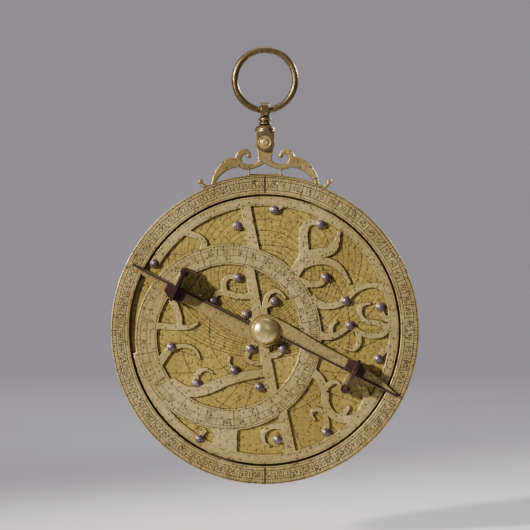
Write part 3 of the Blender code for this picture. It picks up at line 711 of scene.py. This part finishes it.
def engrave_rete():
    """The ecliptic's scale of twelve signs by thirty degrees, and border lines on the outer ring."""
    lines, fine = Engraving(), Engraving()
    centre, radius = ecliptic()
    rim, tens_out, signs_out, signs_in = radius - 0.8, radius - 2.5, radius - 5.6, radius - 9.6
    for ring, width in ((rim, 0.28), (tens_out, 0.22), (signs_out, 0.24)):
        lines.circle(ring, width, centre)
    lines.circle(signs_in, 0.28, centre + Vector((0.3, 0.3)))
    for longitude in range(0, 360, 2):
        turn = ecliptic_turn(longitude)
        if longitude % 30 == 0:
            lines.spoke(signs_in, rim, turn, 0.32, centre)
        elif longitude % 10 == 0:
            lines.spoke(signs_out, rim, turn, 0.24, centre)
        else:
            fine.spoke(tens_out + 0.1, rim - 0.1, turn, 0.2, centre)
    for longitude in range(5, 360, 10):
        turn = ecliptic_turn(longitude)
        tens = longitude % 30 // 10 * 10 + 10
        lines.number(tens, polar((tens_out + signs_out) / 2, turn, centre), 1.9, turn - 90, 0.3)
    for sign in range(12):
        turn = ecliptic_turn(sign * 30 + 15)
        lines.number(sign + 1, polar((signs_out + signs_in) / 2, turn, centre), 2.6, turn - 90, 0.38)
    for ring in (66.5, 63.5):
        fine.arc(ring, -168, 146, 0.15)
    lines.build("rete_scale", RETE_FRONT, LINE, "rete", "rete_brass")
    fine.build("rete_fine_scale", RETE_FRONT, FINE_LINE, "rete", "rete_brass")


def engrave_rule():
    """Painted shadow strips along the two fiducial edges, a scale along each, and the ring on the hub."""
    dark, fine = Engraving(), Engraving()
    hub, taper, tip = 8.3, 66.0, 74.4
    for turn in (RULE_TURN, RULE_TURN + 180):
        along, across = polar(1, turn), polar(1, turn + 90)
        edge = [along * hub + across * 0.72, along * taper + across * 0.72, along * tip + across * 0.35]
        # painted shadow along the fiducial edge, where the raised rule throws shade
        dark.line(edge, 1.2)
        fine.line([along * 8.6 + across * 1.9, along * 45.6 + across * 1.9], 0.15)
        for step in range(9):
            at = along * (10 + step * 4.2)
            fine.line([at + across * 0.8, at + across * (1.9 if step % 3 else 3.2)], 0.15)
        fine.line([along * 53 + across * 2.2, along * taper + across * 1.6], 0.15)
    fine.circle(7.5, 0.2)
    dark.build("rule_fiducial_painted_shadow", RULE_FRONT, SHADOW_LINE, "alidade", "rule_brass")
    fine.build("rule_fine_scale", RULE_FRONT, LINE, "alidade", "rule_brass")


BACK_GRID_R = 60.6  # the sine grid and the hour arcs lie inside this
PIN_CLEAR = 5.6  # where the back's lines stop, short of the washer


def back_rim(lines, fine):
    """Altitude scales round the rim, open where the tang lies, with the months and their days inside them."""
    months_in, days_out, months_out, degrees_in, rim = 62.6, 66.4, 70.4, 74.6, 76.6
    numbers_r = (months_out + degrees_in) / 2
    for radius, width in ((rim, 0.26), (degrees_in, 0.2)):
        lines.arc(radius, 90 + TANG_TURN, 450 - TANG_TURN, width)
    for radius, width in ((months_out, 0.24), (days_out, 0.16), (months_in, 0.24)):
        lines.circle(radius, width)
    for degree in range(360):
        if abs(degree - 90) < TANG_TURN:
            continue
        if degree % 5:
            fine.spoke(degrees_in + 0.1, rim - 0.1, degree, 0.15)
            continue
        lines.spoke(months_out if degree % 10 == 0 else degrees_in, rim, degree, 0.2)
    for degree in (*range(10, 90, 10), *range(100, 180, 10)):
        lines.number(90 - abs(90 - degree), polar(numbers_r, degree), 2.2, degree - 90, 0.24)
    for degree in range(190, 360, 10):
        lines.number(90 - abs(270 - degree), polar(numbers_r, degree), 2.2, degree + 90, 0.24)
    for month in range(12):
        lines.spoke(months_in, months_out, 15 + month * 30, 0.22)
        lines.number(month + 1, polar((days_out + months_out) / 2, month * 30), 2.4, month * 30 - 90, 0.26)
        for day in range(1, 30):
            reach = 64.8 if day % 5 == 0 else 63.9
            fine.spoke(months_in, reach + 1.5 if day % 10 == 0 else reach, 15 + month * 30 + day, 0.13)


def back_quadrants(lines, fine):
    """The two diameters, the sine grid in one upper quadrant and unequal-hour arcs in the other."""
    lines.circle(BACK_GRID_R, 0.2)
    for turn in (180, 0, 90, 270):
        lines.spoke(PIN_CLEAR, BACK_GRID_R, turn, 0.24)
    for step in range(1, 20):
        at = BACK_GRID_R * step / 20
        reach = math.sqrt(BACK_GRID_R**2 - at**2)
        start = PIN_CLEAR if at < PIN_CLEAR else 0.0
        target, width = (fine, 0.12) if step % 5 else (lines, 0.18)
        target.line([(-start, at), (-reach, at)], width)
        target.line([(-at, start), (-at, reach)], width)

    def upper_right(p):
        return p.x > 0 and p.y > 0 and PIN_CLEAR + 0.2 < p.length < BACK_GRID_R

    for hour in range(1, 7):
        radius = BACK_GRID_R / 2 / math.sin(math.radians(15 * hour))
        fine.arc_where((0, radius), radius, upper_right, 0.2)
    for ring in (25.0, 35.0, 48.0):
        fine.arc(ring, 0, 90, 0.16)


def shadow_box(lines, fine):
    """The shadow square under the pin, in twelfths of its half width."""
    half, steps_in, numbers_in = 38.0, 1.8, 5.6
    number_in = (steps_in + numbers_in) / 2
    for inset, width in ((0.0, 0.26), (steps_in, 0.16), (numbers_in, 0.22)):
        reach = half - inset
        lines.line([(-reach, 0), (-reach, -reach), (reach, -reach), (reach, 0)], width)
    for step in range(1, 12):
        at = half * step / 12
        inset = steps_in if step % 3 else numbers_in
        for side in (-1, 1):
            fine.line([(side * at, -half), (side * at, inset - half)], 0.16)
            fine.line([(side * half, -at), (side * (half - inset), -at)], 0.16)
            if step % 3 == 0:
                lines.number(step, (side * (at - 1.9), number_in - half), 2.0, 0, 0.22)
                lines.number(step, (side * (half - number_in), 1.9 - at), 2.0, 0, 0.22)


def engrave_back():
    """The back: altitude scales, a calendar, a sine grid, unequal-hour arcs and a shadow box."""
    lines, fine = Engraving(1.6), Engraving(1.5)
    for part in (back_rim, back_quadrants, shadow_box):
        part(lines, fine)
    lines.build("back_scales", 0.0, LINE, "mater", "mater_brass", behind=True)
    fine.build("back_fine_scales", 0.0, FINE_LINE, "mater", "mater_brass", behind=True)


# ---------------------------------------------------------------- the metal pieces


def metal_pieces():
    """CAD nodes with their edges broken, and the ones that keep their CAD mesh."""
    refined("limb_ring", "limb_fine", 0.28, MATER, "mater", "mater_brass")
    refined("mater_back_plate", "back_fine", 0.2, BACK, "mater", "mater_brass")
    refined("throne", "throne_fine", 0.6, THRONE, "mater", "throne_brass", 4)
    refined("rete", "rete_fine", 0.15, RETE, "rete", "rete_brass", flare=0.5)
    refined("alidade_rule", "rule_fine", 0.2, RULE, "alidade", "rule_brass")
    for side in ("left", "right"):
        softened(f"sight_vane_{side}", f"vane_{side}_fine", 0.16, VANE, "alidade", "dark_bronze")
    softened("wedge", "wedge_fine", 0.2, VANE, "wedge", "dark_bronze")
    kept = {
        "latitude_plate": PLATE, "limb_rivet": MATER, "throne_rivet": THRONE,
        "spacer_washer": PIN, "back_washer": PIN,
    }
    for name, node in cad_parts.items():
        for start, look in kept.items():
            if name.startswith(start):
                node.data.materials.clear()
                node.data.materials.append(look)


def star_bosses():
    """Turned silver knobs with a small collar."""
    knob = [(1.0, -0.02), (2.15, 0.0), (2.15, 0.34), (1.8, 0.42), (1.78, 0.86), (1.0, 1.44), (0.0, 1.52)]
    profile = [(0.0, -0.02), *rounded(knob, 0.5)]
    for name in sorted(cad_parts):
        if not name.startswith("star_boss"):
            continue
        low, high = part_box(name)
        foot = Vector(((low.x + high.x) / 2, BACK_Y - (RETE_FRONT + 0.04) * MM, (low.z + high.z) / 2))
        bm = lathe(bmesh.new(), profile, 28, foot, "Y")
        piece(f"{name}_fine", bm, SILVER, "rete", "star_silver", (name,))


def centre_pin():
    """The domed head, its collar, and the slotted shank behind."""
    back, front = depths("centre_pin")
    head = front - PIN_HEAD_RISE
    collar, rise = 0.7, 3.75
    dome = []
    for i in range(1, 16):
        angle = math.pi / 2 * i / 16
        dome.append((PIN_HEAD_R * math.cos(angle), head + collar + rise * math.sin(angle)))
    profile = [
        (0.0, back), (1.2, back), (1.72, back + 0.6), (PIN_SHANK_R, head), (6.45, head),
        (PIN_HEAD_R, head + 0.18), (PIN_HEAD_R, head + 0.5), (6.6, head + 0.62), *dome,
        (0.0, head + collar + rise),
    ]
    bm = lathe(bmesh.new(), profile, 96, spot(0, 0, 0), "Y")
    cut_slot(piece("centre_pin_fine", bm, PIN, "mater", "pin_brass", ("centre_pin",)))


def cut_slot(pin):
    """Cuts the slot right through the pin's tail, with room for the wedge to slide."""
    low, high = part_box("wedge")
    through, wide = 10 * MM, high.z - low.z + 0.2 * MM
    block = bmesh.new()
    bmesh.ops.create_cube(block, size=1.0)
    bmesh.ops.scale(block, vec=(through, SLOT_LENGTH * MM, wide), verts=block.verts)
    bmesh.ops.translate(block, vec=spot(0, 0, SLOT_DEPTH), verts=block.verts)
    cutter = mesh_object("slot_cutter", block)
    cut = pin.modifiers.new("slot", "BOOLEAN")
    cut.operation = "DIFFERENCE"
    cut.solver = "EXACT"
    cut.object = cutter
    bpy.context.view_layer.update()
    slotted = pin.evaluated_get(bpy.context.evaluated_depsgraph_get())
    mesh = bpy.data.meshes.new_from_object(slotted)
    pin.modifiers.clear()
    pin.data = mesh
    bpy.data.objects.remove(cutter)
    pin.data.shade_smooth()
    pin.data.set_sharp_from_angle(angle=SHARP_ANGLE)


def ring_and_swivel():
    """The ring, and the beaded swivel whose eye it hangs in."""
    wire = (RING_HIGH.y - RING_LOW.y) / 2 / MM + 0.04
    reach = (RING_HIGH.x - RING_LOW.x) / 2 / MM - wire
    middle = Vector((0, RING_MIDDLE.y, RING_MIDDLE.z))
    section = [polar(wire, 15 * i, (reach, 0.0)) for i in range(24)]
    bm = lathe(bmesh.new(), section, 160, middle, "Y", closed=True)
    piece("ring_fine", bm, BRONZE, "ring", "suspension_bronze", ("ring",))

    eye = middle - Vector((0, 0, reach * MM))
    band = rounded([(2.1, -2.2), (3.8, -2.2), (3.8, 2.2), (2.1, 2.2)], 0.45, closed=True)
    bm = lathe(bmesh.new(), band, 56, eye, "X", closed=True)
    stem = [
        (0.0, -11.4), (2.25, -11.4), (2.25, -10.2), (1.35, -10.2), (1.35, -7.4), (2.7, -7.4), (3.2, -7.1),
        (3.2, -6.5), (2.7, -6.15), (2.2, -6.0), (2.2, -5.75), (2.8, -5.5), (3.3, -4.9), (3.2, -4.1),
        (2.5, -3.6), (1.8, -3.4), (1.75, -3.0), (0.0, -3.0),
    ]
    lathe(bm, rounded(stem, 0.22, 3), 56, eye, "Z")
    piece("swivel_fine", bm, BRONZE, "swivel", "suspension_bronze", ("swivel",))


def shackle():
    """The shackle's barrel with its two ears, and the pin through them."""
    low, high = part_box("shackle_pin")
    pivot = Vector((0, RING_MIDDLE.y, (low.z + high.z) / 2))
    barrel = [
        (5.0, 5.2), (5.12, 5.6), (5.12, 6.2), (4.95, 6.4), (5.05, 6.6), (5.0, 7.3), (4.3, 8.3), (3.0, 8.98),
        (1.62, 8.98), (1.62, 6.4), (2.6, 6.4), (2.6, 5.2),
    ]
    bm = lathe(bmesh.new(), rounded(barrel, 0.2, 3, closed=True), 64, pivot, "Z", closed=True)
    for side in (-1, 1):
        ear(bm, pivot, side)
    piece("shackle_fine", bm, BRONZE, "shackle", "suspension_bronze", ("shackle",))

    profile = [
        (0.0, -5.8), (0.9, -5.75), (1.8, -5.3), (1.8, -5.22), (1.3, -5.22), (1.3, 5.22), (3.3, 5.22),
        (3.3, 5.42), (2.7, 5.42), (2.55, 5.26), (2.2, 5.26), (2.05, 5.5), (1.7, 5.72), (1.0, 5.92),
        (0.6, 5.92), (0.35, 5.6), (0.0, 5.6),
    ]
    bm = lathe(bmesh.new(), rounded(profile, 0.12, 3), 40, pivot, "Y")
    piece("shackle_pin_fine", bm, THRONE, "shackle", "suspension_bronze", ("shackle_pin",))


def ear(bm, pivot, side):
    """One ear: a round-ended strap up into the barrel, with the pin's hole and a softened outer edge."""
    outer = [polar(EAR_R, a) for a in range(-180, 1, 9)]
    outer += [Vector((EAR_R, BARREL_FOOT)), Vector((-EAR_R, BARREL_FOOT))]
    hole = [polar(1.5, a) for a in range(0, 360, 15)]
    levels = [(3.42, 0.0), (4.85, 0.0), (5.08, 0.1), (5.15, 0.32)]
    in_barrel = (EAR_R + BARREL_FOOT) / 2
    rings = []
    for depth, inset in levels:
        for outline, grow in ((outer, -1), (hole, 1)):
            ring = []
            for p in outline:
                scale = 1 + grow * inset / p.length
                up = p.y * scale if p.y < in_barrel else p.y
                ring.append(bm.verts.new(pivot + Vector((p.x * scale, -side * depth, up)) * MM))
            rings.append(ring)
    for low, high in zip(rings, rings[2:]):
        for i in range(len(low)):
            j = (i + 1) % len(low)
            bm.faces.new([low[i], low[j], high[j], high[i]])
    for pair in (rings[:2], rings[-2:]):
        edges = []
        for ring in pair:
            for a, b in zip(ring, ring[1:] + ring[:1]):
                edges.append(bm.edges.get((a, b)) or bm.edges.new((a, b)))
        bmesh.ops.triangle_fill(bm, use_beauty=True, use_dissolve=False, edges=edges)


# ---------------------------------------------------------------- the stage


def stage():
    """A pale floor a little under the instrument, that curves up, far away, into pale walls."""
    drop, flat, bend, wall_top = 30.0, 1600.0, 1000.0, 3400.0
    profile = [(0.0, 0.0), (flat, 0.0)]
    for i in range(1, 25):
        angle = math.pi / 2 * i / 24
        profile.append((flat + bend * math.sin(angle), bend - bend * math.cos(angle)))
    profile.append((flat + bend, wall_top))
    bm = lathe(bmesh.new(), profile, 96, Vector((0, 0, LIMB_LOW.z - drop * MM)), "Z")
    bmesh.ops.recalc_face_normals(bm, faces=bm.faces)
    floor = mesh_object("studio_floor", bm)
    look = Look("studio_pale", 0.9, 0.0)
    tone = look.ramp(look.noise(3, 2, 0.5), 0.3, 0.7)
    look.set("Base Color", look.mix(tone, (0.6, 0.585, 0.6, 1), (0.64, 0.625, 0.64, 1)))
    floor.data.materials.append(look.material)
    floor.data.shade_smooth()


def light(name, at, aim, size, watts, colour, cone=None):
    """A round soft light, or a spot with a cone in degrees. at and aim count from the instrument's middle."""
    lamp = bpy.data.lights.new(name, "SPOT" if cone else "AREA")
    if cone:
        lamp.spot_size = math.radians(cone)
        lamp.spot_blend = 1.0
        lamp.shadow_soft_size = size / 2
    else:
        lamp.shape = "DISK"
        lamp.size = size
    lamp.energy = watts
    lamp.color = colour
    obj = bpy.data.objects.new(name, lamp)
    bpy.context.scene.collection.objects.link(obj)
    obj.visible_camera = False
    obj.location = WHOLE_MIDDLE + Vector(at)
    obj.rotation_euler = (Vector(aim) - Vector(at)).to_track_quat("-Z", "Y").to_euler()


def lights():
    """A warm key from the upper left, one for the back, and weak fills on the object and the walls."""
    middle = (0, 0, 0)
    lilac, cool, white = (0.97, 0.94, 1.0), (0.95, 0.95, 1.0), (1.0, 1.0, 1.0)
    light("key", (-1.46, -1.24, 0.57), middle, 0.18, 470, (1.0, 0.965, 0.89), 18)
    light("front_fill", (0.35, -1.5, 0.45), middle, 0.9, 7, cool, 30)
    light("top_fill", (0.1, 0.1, 1.9), middle, 1.4, 2.5, white)
    light("wall_light", (0.0, 0.5, 1.3), (0, 2.6, -0.2), 1.6, 18, lilac)
    light("near_wall_light", (0.0, -0.5, 1.3), (0, -2.6, -0.2), 1.6, 5, lilac)
    light("back_key", (1.35, 1.3, 0.7), middle, 0.3, 330, (1.0, 0.98, 0.94), 18)
    world = bpy.data.worlds.new("studio_world")
    world.use_nodes = True
    background = world.node_tree.nodes["Background"]
    background.inputs["Color"].default_value = (0.9, 0.87, 0.94, 1)
    background.inputs["Strength"].default_value = 0.06
    bpy.context.scene.world = world


def camera():
    """A level camera straight in front of the instrument's middle."""
    distance = 1.1
    data = bpy.data.cameras.new("camera")
    data.lens = 148
    data.sensor_width = 36
    data.clip_start = 0.01
    obj = bpy.data.objects.new("camera", data)
    bpy.context.scene.collection.objects.link(obj)
    obj.location = WHOLE_MIDDLE + Vector((0, -distance, 0))
    obj.rotation_euler = (math.pi / 2, 0, 0)
    bpy.context.scene.camera = obj


metal_pieces()
star_bosses()
centre_pin()
ring_and_swivel()
shackle()
engrave_plate()
engrave_limb()
engrave_rete()
engrave_rule()
engrave_back()
stage()
lights()
camera()
